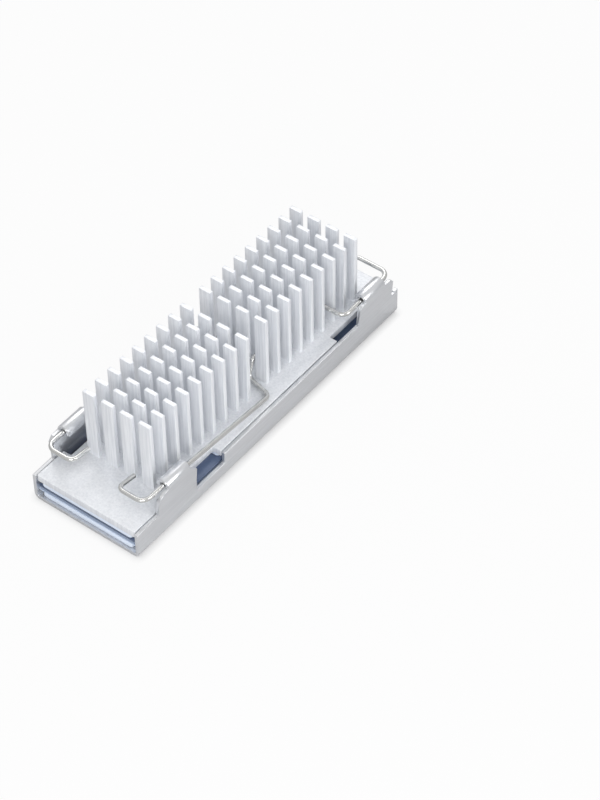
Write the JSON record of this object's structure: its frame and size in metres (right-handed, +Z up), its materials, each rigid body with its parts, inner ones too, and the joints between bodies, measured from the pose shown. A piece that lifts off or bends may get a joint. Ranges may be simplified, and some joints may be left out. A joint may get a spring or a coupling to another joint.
{
  "type": "ssd heat sink",
  "caption": "Heat sink for a plug-in solid state drive: finned metal block over a folded sheet tray, pressed together by two spring wire clips, with thermal pads in the slot.",
  "frame": {"origin": "middle of the tray's underside, on the surface that the tray lies on", "axes": "+Z up from the tray to the fin tips, +Y along the drive from its connector end to its far end, +X to the right when looking along +Y"},
  "size_m": [0.0248, 0.076, 0.0214],
  "materials": {
    "block_aluminium": "pale anodised, satin",
    "sheet_aluminium": "pale anodised sheet, satin",
    "upper_pad": "soft matt thermal pad, pale blue",
    "lower_pad": "soft matt thermal pad, pale blue",
    "upper_film": "pale blue liner film",
    "lower_film": "pale blue liner film",
    "spring_steel": "bright drawn spring wire"
  },
  "bodies": {
    "root": {"fin_heatsink": "block_aluminium", "clip_tray": "sheet_aluminium", "upper_pad": "upper_pad", "lower_pad": "lower_pad", "upper_liner": "upper_film", "lower_liner": "lower_film", "right_clip": "spring_steel", "left_clip": "spring_steel"}
  },
  "joints": []
}
